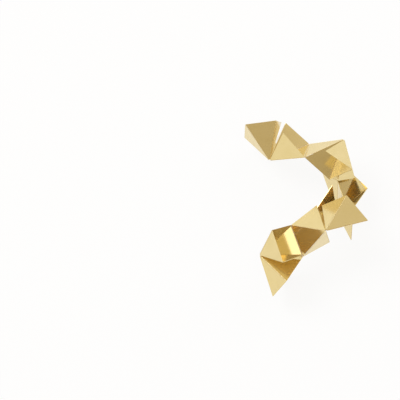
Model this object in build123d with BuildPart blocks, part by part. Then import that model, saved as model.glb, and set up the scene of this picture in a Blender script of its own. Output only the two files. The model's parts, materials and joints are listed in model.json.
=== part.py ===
from build123d import *
import math
import os

# Etched brass sheet of five octagons in a chain, in millimetres
octagon_across_flats = 38.0
sheet_thickness = 0.25
slit_width = 0.4
tip_cut = 0.7
corner_cut = 0.5

# Fold lines, etched from both faces to a thin web with a round bead on the fold axis
groove_half_width = 0.4
web_thickness = 0.08
bead_diameter = 0.2
bead_clearance = 0.02
bead_end_gap = 0.8

# Hanging hole at the last rim corner of one panel, with this much metal between it and the panel's edges
hole_diameter = 2.0
hole_margin = 0.8
hole_panel = (1, 2)

# The corner that each octagon's slit runs to, and the side that carries the next octagon.
# Corners go anticlockwise, and each side has the number of the corner that it starts from.
slit_corner = {1: 1, 2: 0, 3: 2, 4: 0, 5: 7}
link_side = {1: 5, 2: 4, 3: 6, 4: 4}

# Folds in degrees, read from the photograph. A positive fold closes over the front face.
# Panels of an octagon are numbered 1 to 8 from its slit, and its folds go from panel 1 to panel 8.
panel_folds = {
    1: (-73, -66, -70, 42, 75, 79, 84),
    2: (-60, -88, -83, 105, 2, -138, -53),
    3: (-46, 25, 70, 93, -12, -98, -121),
    4: (76, 117, -28, -117, -61, 52, 96),
    5: (84, 49, -75, 84, 53, 49, 95),
}
link_folds = {1: 33, 2: 33, 3: 34, 4: 3}

# The panel that carries all others. The ornament lies on its tip and on a corner of each of two others.
middle_panel = (3, 6)
table_corners = (((5, 4), 3), ((1, 1), 2))
turn_on_table = -52.5

# Sizes that follow from the sheet
sides = 8
side_turn = 360 / sides
corner_radius = octagon_across_flats / 2 / math.cos(math.radians(side_turn / 2))
bead_radius = bead_diameter / 2
front = Vector(0, 0, 1)


def direction(turn):
    """Unit vector in the flat sheet, at an angle from +X."""
    return Vector(1, 0, 0).rotate(Axis.Z, turn)


# Middles of the octagons in the flat sheet
middle = {1: Vector(0, 0, 0)}
for octagon, side in link_side.items():
    middle[octagon + 1] = middle[octagon] + direction((side + 1) * side_turn) * octagon_across_flats


def corner(octagon, index):
    """Corner of an octagon in the flat sheet."""
    return middle[octagon] + direction((index + 0.5) * side_turn) * corner_radius


def panel_at_side(octagon, side):
    """The panel that ends at a side of an octagon."""
    return octagon, (side - slit_corner[octagon]) % sides + 1


# Each fold has two panels with the edges that meet there, the ends of its line and its angle
folds = []
for octagon, angles in panel_folds.items():
    for number, angle in enumerate(angles, start=1):
        outer_end = corner(octagon, slit_corner[octagon] + number)
        meeting = (((octagon, number), "high"), ((octagon, number + 1), "low"))
        folds.append((meeting, middle[octagon], outer_end, angle))
for octagon, angle in link_folds.items():
    side = link_side[octagon]
    facing_side = side + sides // 2
    meeting = ((panel_at_side(octagon, side), "rim"), (panel_at_side(octagon + 1, facing_side), "rim"))
    folds.append((meeting, corner(octagon, side + 1), corner(octagon, side), angle))

# Fold the sheet from the middle panel outwards, and note which panel carries which
placed = {middle_panel: Location()}
edge_kind = {}
while len(placed) <= len(folds):
    for (first, second), start, end, angle in folds:
        for near, far, turn in ((first, second, angle), (second, first, -angle)):
            if near[0] in placed and far[0] not in placed:
                hinge = Location(Plane(start, x_dir=end - start, z_dir=front))
                bend = Location((0, 0, 0), (turn, 0, 0))
                placed[far[0]] = placed[near[0]] * hinge * bend * hinge.inverse()
                edge_kind[near] = "carries"
                edge_kind[far] = "carried"

# How far the full thickness and the thin web stay back from each kind of edge
plate_inset = {"free": 0, "slit": slit_width / 2, "carries": groove_half_width, "carried": groove_half_width}
web_inset = {"free": 0, "slit": slit_width / 2, "carries": 0, "carried": bead_radius + bead_clearance}


def panel_edges(panel):
    """The three edges of a panel in turn, each with its start and its kind."""
    octagon, number = panel
    low = slit_corner[octagon] + number - 1
    starts = {"low": middle[octagon], "rim": corner(octagon, low), "high": corner(octagon, low + 1)}
    uncut = {"low": "slit", "rim": "free", "high": "slit"}
    return [(start, edge_kind.get((panel, name), uncut[name])) for name, start in starts.items()]


def inside_corner(before, point, after, inset_before, inset_after):
    """Where two edges of a panel meet when each is drawn in by its own amount."""
    back = (before - point).normalized()
    ahead = (after - point).normalized()
    spread = math.sin(math.radians(back.get_angle(ahead)))
    return point + ahead * (inset_before / spread) + back * (inset_after / spread)


def outline(panel, inset):
    """Corners of a panel whose edges are drawn in by what each kind needs, tip first."""
    edges = panel_edges(panel)
    corners = []
    for index, (point, kind) in enumerate(edges):
        before, kind_before = edges[index - 1]
        after = edges[(index + 1) % len(edges)][0]
        corners.append(inside_corner(before, point, after, inset[kind_before], inset[kind]))
    return corners


def place_of(location, point):
    """Where a point of the flat sheet goes to."""
    return (location * Location(point)).position


# The table is the plane through two panel corners and a tip, with the ornament's middle over the origin
feet = [place_of(placed[panel], corner(panel[0], index)) for panel, index in table_corners]
feet.append(place_of(placed[middle_panel], middle[middle_panel[0]]))
up = (feet[1] - feet[0]).cross(feet[2] - feet[0])
table = Location(Plane(feet[0], x_dir=feet[2] - feet[0], z_dir=up))
lying = Location((0, 0, 0), (0, 0, turn_on_table)) * table.inverse()
reach = [place_of(lying * placed[panel], point) for panel in placed for point in outline(panel, plate_inset)]
middle_x = (min(point.X for point in reach) + max(point.X for point in reach)) / 2
middle_y = (min(point.Y for point in reach) + max(point.Y for point in reach)) / 2
lowest = min(point.Z for point in reach)
on_table = Location((-middle_x, -middle_y, sheet_thickness / 2 - lowest)) * lying

# Middle of the hanging hole in the flat sheet
hole_inset = hole_diameter / 2 + hole_margin
hole_octagon, hole_number = hole_panel
hole_corner = slit_corner[hole_octagon] + hole_number
hole_place = inside_corner(
    corner(hole_octagon, hole_corner - 1),
    corner(hole_octagon, hole_corner),
    middle[hole_octagon],
    hole_inset,
    hole_inset,
)


def make_panel(panel):
    """One triangular panel at its place in the folded ornament."""
    place = on_table * placed[panel]
    plane = Plane(place)
    edges = panel_edges(panel)
    with BuildPart(plane) as leaf:
        for inset, thickness in ((plate_inset, sheet_thickness), (web_inset, web_thickness)):
            with BuildSketch(plane) as shape:
                with BuildLine():
                    Polyline(*outline(panel, inset), close=True)
                make_face()
                tip, *rim_ends = shape.vertices().sort_by_distance(middle[panel[0]])
                chamfer(tip, length=tip_cut)
                chamfer([end for end in shape.vertices() if end in rim_ends], length=corner_cut)
            extrude(amount=thickness / 2, both=True)
        for index, (start, kind) in enumerate(edges):
            if kind == "carries":
                along = edges[(index + 1) % len(edges)][0] - start
                axis = Plane(start + along.normalized() * bead_end_gap, x_dir=front, z_dir=along)
                with BuildSketch(Plane(place * Location(axis))):
                    Circle(bead_radius)
                extrude(amount=along.length - 2 * bead_end_gap)
        if panel == hole_panel:
            with Locations(hole_place):
                Hole(hole_diameter / 2)
    leaf.part.label = "octagon_{}_panel_{}".format(*panel)
    return leaf


os.makedirs("parts", exist_ok=True)
for panel in sorted(placed):
    leaf = make_panel(panel)
    export_step(leaf.part, f"parts/{leaf.part.label}.step")
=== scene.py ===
import json
import math

import bmesh
import bpy
from mathutils import Matrix, Vector
from mathutils.geometry import tessellate_polygon

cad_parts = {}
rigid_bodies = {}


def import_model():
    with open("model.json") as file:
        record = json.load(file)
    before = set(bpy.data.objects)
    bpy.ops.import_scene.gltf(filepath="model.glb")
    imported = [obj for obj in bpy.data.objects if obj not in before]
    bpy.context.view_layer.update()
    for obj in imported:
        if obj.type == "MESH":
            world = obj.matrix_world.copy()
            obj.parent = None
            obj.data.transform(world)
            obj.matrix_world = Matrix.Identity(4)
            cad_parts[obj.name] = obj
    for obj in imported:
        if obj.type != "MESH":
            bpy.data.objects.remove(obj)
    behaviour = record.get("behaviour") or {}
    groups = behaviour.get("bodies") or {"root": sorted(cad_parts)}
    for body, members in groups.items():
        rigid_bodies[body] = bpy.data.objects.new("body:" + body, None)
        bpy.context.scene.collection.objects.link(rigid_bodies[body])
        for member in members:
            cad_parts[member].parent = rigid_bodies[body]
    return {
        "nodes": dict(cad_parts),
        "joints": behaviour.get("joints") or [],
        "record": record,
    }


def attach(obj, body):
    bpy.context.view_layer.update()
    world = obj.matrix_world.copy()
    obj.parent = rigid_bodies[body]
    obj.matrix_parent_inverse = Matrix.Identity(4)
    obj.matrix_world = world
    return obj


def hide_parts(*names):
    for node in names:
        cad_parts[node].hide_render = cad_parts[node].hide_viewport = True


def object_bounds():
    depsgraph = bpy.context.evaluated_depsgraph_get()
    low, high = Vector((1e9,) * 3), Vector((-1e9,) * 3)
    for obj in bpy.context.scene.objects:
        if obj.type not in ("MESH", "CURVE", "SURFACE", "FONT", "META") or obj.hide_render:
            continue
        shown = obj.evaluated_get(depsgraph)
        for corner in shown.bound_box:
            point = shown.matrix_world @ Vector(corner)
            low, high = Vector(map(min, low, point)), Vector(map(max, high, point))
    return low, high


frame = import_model()
cad_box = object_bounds()

# Sheet metal edges, in metres
HINGE_GAP = 0.00002
GROOVE_HALF_WIDTH = 0.0004
GROOVE_NOSE = 0.00005
EDGE_BEVEL = 0.00002
SLIT_HALF_WIDTH = 0.0002
TIP_CUT = 0.00065
LEAST_TIP = 0.00005
CORNER_CUT = 0.00012

# Hanging hole
HOLE_STEPS = 48
MM_PER_METRE = 1000

# Levels of the rings that a panel is made of, as shares of half its thickness
BEVEL_START = 0.92
BEAD_STEP = 0.71
GROOVE_FLOOR = 0.38
UPPER_LEVELS = (1.0, BEVEL_START, BEAD_STEP, GROOVE_FLOOR)
LEVELS = (*UPPER_LEVELS, 0.0, *(-level for level in reversed(UPPER_LEVELS)))

# The sheet: panels in an octagon, and the corner that each octagon's slit runs to
PANELS = 8
PANEL_ANGLE = math.tau / PANELS
HALF_ANGLE = PANEL_ANGLE / 2
SLIT_CORNER = {1: 1, 2: 0, 3: 2, 4: 0, 5: 7}

# Edges of a panel's outline in order, with None for a cut corner
OUTLINE_EDGES = ("low", None, "rim", None, "high", None)

# The photograph's view: direction of the camera, and the pixel that shows the middle of the ornament
VIEW_AZIMUTH = math.radians(27.52)
VIEW_ELEVATION = math.radians(65.17)
VIEW_ROLL = math.radians(-29.87)
VIEW_DISTANCE = 2.0
PICTURE_PIXELS = 400
PIXEL_SIZE = 0.00046953
MIDDLE_PIXEL = (304.9, 200.9)
SENSOR_WIDTH = 36.0
CLIP_START = 0.05
CLIP_END = 50.0

# Places of the two metals among a panel's materials
SATIN = 0
ETCHED = 1

# Satin brass: colours, gloss, and noise with its scales along, across and through the flat sheet
BRASS = (0.84, 0.68, 0.33, 1.0)
BRASS_DARK = (0.81, 0.65, 0.30, 1.0)
BRASS_METALLIC = 0.84
BRASS_ROUGHNESS = (0.10, 0.17)
TONE_SCALE = (120.0, 220.0, 0.0)
TONE_DETAIL = 3.0
GRAIN_SCALE = (500.0, 22000.0, 0.0)
GRAIN_DETAIL = 2.0
GRAIN_STRENGTH = 0.05
GRAIN_HEIGHT = 0.00002

# Etched brass of the fold lines
ETCHED_BRASS = (0.86, 0.72, 0.47, 1.0)
ETCHED_METALLIC = 1.0
ETCHED_ROUGHNESS = (0.38, 0.52)
PIT_SCALE = (9000.0, 9000.0, 9000.0)
PIT_DETAIL = 2.0

# Middle part of a noise over which the colour and the gloss change
COLOUR_BAND = (0.3, 0.7)
GLOSS_BAND = (0.25, 0.75)

# Floor
FLOOR_WHITE = (0.92, 0.92, 0.92, 1.0)
FLOOR_ROUGHNESS = 0.9
FLOOR_GLOW = 0.9
FLOOR_HALF_WIDTH = 4.0

# Surroundings: a white room with a dim, warm part over the camera, and their strength as light
DIM_SIDE = (0.05, -0.5, 0.86)
DIM_BAND = (0.3, 0.95)
ROOM_TO_DIM = (1.0, 0.36)
ROOM_WHITE = (1.0, 1.0, 1.0, 1.0)
WARM_DIM = (1.0, 0.82, 0.54, 1.0)
LIGHT_STRENGTH = 0.6

# Soft lamps: name, place, width in metres and power in watts
SOFTBOXES = (
    ("key_softbox", (-0.6, 0.5, 1.2), 0.8, 8.0),
    ("fill_softbox", (0.95, 0.6, 0.75), 0.8, 3.0),
    ("small_softbox", (-0.14, -0.62, 1.02), 0.24, 0.3),
)


def fold_joint(octagon, panel):
    """The fold between a panel and the next one of its octagon, or None at the slit."""
    name = f"octagon_{octagon}_fold_{panel}_{panel + 1}"
    return next((joint for joint in frame["joints"] if joint["name"] == name), None)


def link_joint(node):
    """The fold that joins a panel's rim to another octagon, or None."""
    for joint in frame["joints"]:
        if joint["name"].startswith("fold_between") and node in (joint["parent"], joint["child"]):
            return joint
    return None


def node_corners(node):
    """Corners of a CAD node's mesh."""
    return [vertex.co for vertex in frame["nodes"][node].data.vertices]


def node_middle(node):
    """Mean of a CAD node's corners, which lies about in the middle of its thickness."""
    corners = node_corners(node)
    return sum(corners, Vector()) / len(corners)


def octagon_middle(octagon):
    """The point where the panels of an octagon meet."""
    return Vector(fold_joint(octagon, 1)["pos_m"])


def rim_distance():
    """How far an octagon's rim is from its middle, measured to the fold that links the first two."""
    link = next(joint for joint in frame["joints"] if joint["name"] == "fold_between_octagons_1_2")
    arm = octagon_middle(1) - Vector(link["pos_m"])
    axis = Vector(link["axis"]).normalized()
    return (arm - axis * arm.dot(axis)).length


RIM_DISTANCE = rim_distance()


class Panel:
    """Where one triangular panel lies, and what each of its edges does."""

    def __init__(self, octagon, number):
        self.octagon = octagon
        self.number = number
        self.node = f"octagon_{octagon}_panel_{number}"
        self.tip = octagon_middle(octagon)
        self.middle = node_middle(self.node)
        toward = self.middle - self.tip
        low_fold = fold_joint(octagon, number - 1)
        high_fold = fold_joint(octagon, number)
        low = self.along(low_fold, toward)
        high = self.along(high_fold, toward)
        if low and high:
            normal = low.cross(high)
        elif low:
            normal = low.cross(toward)
        else:
            normal = toward.cross(high)
        self.normal = normal.normalized()
        if low:
            self.out = Matrix.Rotation(HALF_ANGLE, 3, self.normal) @ low
        else:
            self.out = Matrix.Rotation(-HALF_ANGLE, 3, self.normal) @ high
        self.across = self.normal.cross(self.out)
        heights = [corner.dot(self.normal) for corner in node_corners(self.node)]
        self.half = (max(heights) - min(heights)) / 2
        self.joints = {"low": low_fold, "rim": link_joint(self.node), "high": high_fold}

    @staticmethod
    def along(joint, toward):
        """Direction of a fold line from the octagon's middle to its rim, or None at the slit."""
        if joint is None:
            return None
        axis = Vector(joint["axis"]).normalized()
        return axis if axis.dot(toward) > 0 else -axis

    def kind(self, edge):
        """What an edge of the panel is: the fold it carries, the fold it hangs on, a slit or free."""
        joint = self.joints[edge]
        if joint is None:
            return "free" if edge == "rim" else "slit"
        return "carries" if joint["parent"] == self.node else "carried"

    def inner_side(self, edge):
        """The face, 1 or -1, that the fold at an edge closes over."""
        joint = self.joints[edge]
        if joint is None:
            return 1
        other = joint["child"] if joint["parent"] == self.node else joint["parent"]
        return 1 if (node_middle(other) - self.tip).dot(self.normal) > 0 else -1

    def place(self, x, y, height):
        """A point of the panel in the frame, from its distance out, its place across and its height."""
        return self.tip + self.out * x + self.across * y + self.normal * height


def bevel_share(level):
    """How much of an edge's bevel is cut away at a level."""
    return max(0.0, (abs(level) - BEVEL_START) / (1 - BEVEL_START))


def edge_offset(kind, level, half):
    """How far an edge stands outside its line. The level is positive on the outer side of a fold."""
    if kind == "carries" and level >= 0:
        return half * math.sqrt(1 - level * level)
    if kind == "carried" and level >= 0:
        return -half - HINGE_GAP
    if kind in ("carries", "carried"):
        nose = GROOVE_NOSE if kind == "carries" else -half - HINGE_GAP
        depth = max(0.0, (-level - GROOVE_FLOOR) / (1 - GROOVE_FLOOR))
        return nose + (-GROOVE_HALF_WIDTH - nose) * depth
    inset = SLIT_HALF_WIDTH if kind == "slit" else 0.0
    return -inset - EDGE_BEVEL * bevel_share(level)


def meet(first, second):
    """Where two lines meet. A line is its outward direction and its distance from the tip."""
    (first_x, first_y), first_reach = first
    (second_x, second_y), second_reach = second
    scale = first_x * second_y - first_y * second_x
    x = (first_reach * second_y - second_reach * first_y) / scale
    y = (first_x * second_reach - second_x * first_reach) / scale
    return Vector((x, y))


def ring(panel, level):
    """Outline of a panel at a level, as six points: two at each cut corner."""
    ways = {
        "low": (-math.sin(HALF_ANGLE), -math.cos(HALF_ANGLE)),
        "rim": (1.0, 0.0),
        "high": (-math.sin(HALF_ANGLE), math.cos(HALF_ANGLE)),
    }
    lines = {}
    for edge, way in ways.items():
        reach = RIM_DISTANCE if edge == "rim" else 0.0
        offset = edge_offset(panel.kind(edge), -level * panel.inner_side(edge), panel.half)
        lines[edge] = (way, reach + offset)
    cuts = []
    for before, after in (("low", "rim"), ("rim", "high")):
        way = (Vector(ways[before]) + Vector(ways[after])).normalized()
        corner = meet(lines[before], lines[after])
        cuts.append((tuple(way), way.dot(corner) - CORNER_CUT))
    tip = max(TIP_CUT, meet(lines["high"], lines["low"]).x + LEAST_TIP)
    tip_cut = ((-1.0, 0.0), -tip)
    order = [lines["low"], cuts[0], lines["rim"], cuts[1], lines["high"], tip_cut]
    return [meet(order[index - 1], order[index]) for index in range(len(order))]


def hole_ring(panel, level):
    """Outline of the hanging hole at a level, or nothing where the panel has none."""
    mount = frame["record"]["mounts"][0]
    hole = Vector(mount["pos_m"])
    place = hole - panel.tip
    off_the_plane = abs(place.dot(panel.normal)) > panel.half
    if off_the_plane or (hole - panel.middle).length > RIM_DISTANCE:
        return []
    radius = mount["dims"]["r_mm"] / MM_PER_METRE
    radius += EDGE_BEVEL * bevel_share(level)
    centre = Vector((place.dot(panel.out), place.dot(panel.across)))
    turns = [math.tau * step / HOLE_STEPS for step in range(HOLE_STEPS)]
    return [centre + radius * Vector((math.cos(turn), math.sin(turn))) for turn in turns]


def add_wall(faces, kinds, starts, kind_of):
    """Faces between each two rings of one loop of points, with a material for each step of the loop."""
    count = len(kind_of)
    for upper, lower in zip(starts, starts[1:]):
        for step in range(count):
            ahead = (step + 1) % count
            faces.append((upper + step, lower + step, lower + ahead, upper + ahead))
            kinds.append(kind_of[step])


def cap_faces(start, outline, hole):
    """Faces that close a panel at its first or last ring."""
    if not hole:
        return [tuple(range(start, start + len(outline)))]
    loops = [[spot.to_3d() for spot in outline], [spot.to_3d() for spot in hole]]
    return [tuple(start + corner for corner in face) for face in tessellate_polygon(loops)]


def panel_faces(panel, loops, outline_starts, hole_starts):
    """Faces of a panel and the metal of each, which is etched where an edge is a fold."""
    faces = []
    kinds = []
    edge_kinds = [ETCHED if panel.joints.get(edge) is not None else SATIN for edge in OUTLINE_EDGES]
    add_wall(faces, kinds, outline_starts, edge_kinds)
    first_outline, first_hole = loops[0]
    last_outline, last_hole = loops[-1]
    if first_hole:
        add_wall(faces, kinds, hole_starts, [SATIN] * len(first_hole))
    faces += cap_faces(outline_starts[0], first_outline, first_hole)
    faces += cap_faces(outline_starts[-1], last_outline, last_hole)
    kinds += [SATIN] * (len(faces) - len(kinds))
    return faces, kinds


def turn_faces_outwards(mesh):
    """Turns every face of a closed mesh outwards."""
    shell = bmesh.new()
    shell.from_mesh(mesh)
    bmesh.ops.recalc_face_normals(shell, faces=shell.faces)
    shell.to_mesh(mesh)
    shell.free()


def panel_piece(panel, brass, etched):
    """The panel as one closed mesh, with rounded folds, etched grooves and bevelled edges."""
    points = []
    flat = []
    loops = []
    outline_starts = []
    hole_starts = []
    in_sheet = Matrix.Rotation((SLIT_CORNER[panel.octagon] + panel.number) * PANEL_ANGLE, 2)
    sheet_row = panel.octagon * 2 * RIM_DISTANCE
    for level in LEVELS:
        height = level * panel.half
        outline = ring(panel, level)
        hole = hole_ring(panel, level)
        loops.append((outline, hole))
        outline_starts.append(len(points))
        hole_starts.append(len(points) + len(outline))
        for spot in outline + hole:
            points.append(panel.place(spot.x, spot.y, height))
            in_flat = in_sheet @ spot
            flat.append((in_flat.x, in_flat.y + sheet_row, height))
    faces, kinds = panel_faces(panel, loops, outline_starts, hole_starts)
    mesh = bpy.data.meshes.new(f"brass_{panel.node}")
    mesh.from_pydata(points, [], faces)
    mesh.materials.append(brass)
    mesh.materials.append(etched)
    mesh.polygons.foreach_set("material_index", kinds)
    place = mesh.attributes.new("sheet_place", "FLOAT_VECTOR", "POINT")
    place.data.foreach_set("vector", [number for spot in flat for number in spot])
    turn_faces_outwards(mesh)
    piece = bpy.data.objects.new(mesh.name, mesh)
    bpy.context.scene.collection.objects.link(piece)
    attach(piece, panel.node)
    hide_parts(panel.node)


def new_material(name):
    """A material with its nodes, links and Principled shader."""
    material = bpy.data.materials.new(name)
    material.use_nodes = True
    nodes = material.node_tree.nodes
    return material, nodes, material.node_tree.links, nodes["Principled BSDF"]


def sheet_noise(nodes, links, scale, detail):
    """Noise in the flat sheet, stretched by a scale for each of its directions."""
    place = nodes.new("ShaderNodeAttribute")
    place.attribute_name = "sheet_place"
    stretch = nodes.new("ShaderNodeVectorMath")
    stretch.operation = "MULTIPLY"
    stretch.inputs[1].default_value = scale
    noise = nodes.new("ShaderNodeTexNoise")
    noise.inputs["Scale"].default_value = 1.0
    noise.inputs["Detail"].default_value = detail
    links.new(place.outputs["Vector"], stretch.inputs[0])
    links.new(stretch.outputs["Vector"], noise.inputs["Vector"])
    return noise.outputs["Fac"]


def ramp(nodes, links, value, band, low, high):
    """Colour ramp from a low to a high colour over a band of a value."""
    blend = nodes.new("ShaderNodeValToRGB")
    stops = blend.color_ramp.elements
    stops[0].position = band[0]
    stops[0].color = low
    stops[1].position = band[1]
    stops[1].color = high
    links.new(value, blend.inputs["Fac"])
    return blend.outputs["Color"]


def spread(nodes, links, value, band, ends):
    """Maps a band of a value to the range between two ends."""
    mapped = nodes.new("ShaderNodeMapRange")
    mapped.inputs["From Min"].default_value = band[0]
    mapped.inputs["From Max"].default_value = band[1]
    mapped.inputs["To Min"].default_value = ends[0]
    mapped.inputs["To Max"].default_value = ends[1]
    links.new(value, mapped.inputs["Value"])
    return mapped.outputs["Result"]


def seen_rays(nodes, links):
    """1 for what the camera sees, straight or in the metal, and 0 for what only lights the scene."""
    rays = nodes.new("ShaderNodeLightPath")
    seen = nodes.new("ShaderNodeMath")
    seen.operation = "MAXIMUM"
    links.new(rays.outputs["Is Camera Ray"], seen.inputs[0])
    links.new(rays.outputs["Is Glossy Ray"], seen.inputs[1])
    return seen.outputs["Value"]


def brass_material():
    """Satin brass, brushed one way along the flat sheet."""
    material, nodes, links, shader = new_material("satin_brass")
    shader.inputs["Metallic"].default_value = BRASS_METALLIC
    tone = sheet_noise(nodes, links, TONE_SCALE, TONE_DETAIL)
    grain = sheet_noise(nodes, links, GRAIN_SCALE, GRAIN_DETAIL)
    colour = ramp(nodes, links, tone, COLOUR_BAND, BRASS_DARK, BRASS)
    roughness = spread(nodes, links, grain, GLOSS_BAND, BRASS_ROUGHNESS)
    links.new(colour, shader.inputs["Base Color"])
    links.new(roughness, shader.inputs["Roughness"])
    bump = nodes.new("ShaderNodeBump")
    bump.inputs["Strength"].default_value = GRAIN_STRENGTH
    bump.inputs["Distance"].default_value = GRAIN_HEIGHT
    links.new(grain, bump.inputs["Height"])
    links.new(bump.outputs["Normal"], shader.inputs["Normal"])
    return material


def etched_material():
    """Matte etched brass of the fold lines."""
    material, nodes, links, shader = new_material("etched_brass")
    shader.inputs["Metallic"].default_value = ETCHED_METALLIC
    pits = sheet_noise(nodes, links, PIT_SCALE, PIT_DETAIL)
    colour = ramp(nodes, links, pits, COLOUR_BAND, BRASS, ETCHED_BRASS)
    roughness = spread(nodes, links, pits, GLOSS_BAND, ETCHED_ROUGHNESS)
    links.new(colour, shader.inputs["Base Color"])
    links.new(roughness, shader.inputs["Roughness"])
    return material


def floor_material():
    """White floor that shows near white to the camera and in the metal, and keeps the shadow."""
    material, nodes, links, shader = new_material("white_floor")
    shader.inputs["Base Color"].default_value = FLOOR_WHITE
    shader.inputs["Roughness"].default_value = FLOOR_ROUGHNESS
    shader.inputs["Specular IOR Level"].default_value = 0.0
    share = nodes.new("ShaderNodeMath")
    share.operation = "MULTIPLY"
    share.inputs[1].default_value = FLOOR_GLOW
    glow = nodes.new("ShaderNodeEmission")
    mix = nodes.new("ShaderNodeMixShader")
    links.new(seen_rays(nodes, links), share.inputs[0])
    links.new(share.outputs["Value"], mix.inputs["Fac"])
    links.new(shader.outputs["BSDF"], mix.inputs[1])
    links.new(glow.outputs["Emission"], mix.inputs[2])
    links.new(mix.outputs["Shader"], nodes["Material Output"].inputs["Surface"])
    return material


def add_floor():
    """A wide plain floor at the level that the ornament lies on."""
    half = FLOOR_HALF_WIDTH
    corners = [(-half, -half, 0), (half, -half, 0), (half, half, 0), (-half, half, 0)]
    mesh = bpy.data.meshes.new("floor")
    mesh.from_pydata(corners, [], [(0, 1, 2, 3)])
    mesh.materials.append(floor_material())
    floor = bpy.data.objects.new("floor", mesh)
    bpy.context.scene.collection.objects.link(floor)


def add_camera():
    """A long lens at the photograph's angle, framed so that the ornament shows where it does there."""
    low, high = cad_box
    middle = (low + high) / 2
    back = Vector((
        math.sin(VIEW_AZIMUTH) * math.cos(VIEW_ELEVATION),
        -math.cos(VIEW_AZIMUTH) * math.cos(VIEW_ELEVATION),
        math.sin(VIEW_ELEVATION),
    ))
    level_right = Vector((0, 0, 1)).cross(back).normalized()
    right = Matrix.Rotation(VIEW_ROLL, 3, back) @ level_right
    up = back.cross(right)
    beside = (MIDDLE_PIXEL[0] - PICTURE_PIXELS / 2) * PIXEL_SIZE
    below = (MIDDLE_PIXEL[1] - PICTURE_PIXELS / 2) * PIXEL_SIZE
    aim = middle - right * beside + up * below
    eye = middle + back * VIEW_DISTANCE
    facing = (eye - aim).normalized()
    side = (right - facing * right.dot(facing)).normalized()
    top = facing.cross(side)
    lens = bpy.data.cameras.new("camera")
    lens.sensor_width = SENSOR_WIDTH
    lens.lens = SENSOR_WIDTH * VIEW_DISTANCE / (PICTURE_PIXELS * PIXEL_SIZE)
    lens.clip_start = CLIP_START
    lens.clip_end = CLIP_END
    camera = bpy.data.objects.new("camera", lens)
    turned = Matrix((side, top, facing)).transposed().to_4x4()
    camera.matrix_world = Matrix.Translation(eye) @ turned
    bpy.context.scene.collection.objects.link(camera)
    bpy.context.scene.camera = camera


def add_softbox(name, place, size, power):
    """A square area light that faces the ornament."""
    light = bpy.data.lights.new(name, "AREA")
    light.size = size
    light.energy = power
    lamp = bpy.data.objects.new(name, light)
    lamp.location = place
    lamp.rotation_mode = "QUATERNION"
    lamp.rotation_quaternion = Vector(place).to_track_quat("Z", "Y")
    bpy.context.scene.collection.objects.link(lamp)


def add_world():
    """Pale surroundings that mirror as a white room with a dim, warm part over the camera."""
    world = bpy.data.worlds.new("studio")
    world.use_nodes = True
    bpy.context.scene.world = world
    nodes = world.node_tree.nodes
    links = world.node_tree.links
    background = nodes["Background"]
    place = nodes.new("ShaderNodeTexCoord")
    toward = nodes.new("ShaderNodeVectorMath")
    toward.operation = "DOT_PRODUCT"
    toward.inputs[1].default_value = DIM_SIDE
    links.new(place.outputs["Generated"], toward.inputs[0])
    room = spread(nodes, links, toward.outputs["Value"], DIM_BAND, ROOM_TO_DIM)
    tint = ramp(nodes, links, toward.outputs["Value"], DIM_BAND, ROOM_WHITE, WARM_DIM)
    strength = nodes.new("ShaderNodeMapRange")
    strength.inputs["To Min"].default_value = LIGHT_STRENGTH
    links.new(seen_rays(nodes, links), strength.inputs["Value"])
    links.new(room, strength.inputs["To Max"])
    links.new(tint, background.inputs["Color"])
    links.new(strength.outputs["Result"], background.inputs["Strength"])


brass = brass_material()
etched = etched_material()
for octagon in SLIT_CORNER:
    for number in range(1, PANELS + 1):
        panel_piece(Panel(octagon, number), brass, etched)
add_floor()
add_camera()
for name, place, size, power in SOFTBOXES:
    add_softbox(name, place, size, power)
add_world()
bpy.context.scene.view_settings.view_transform = "Standard"
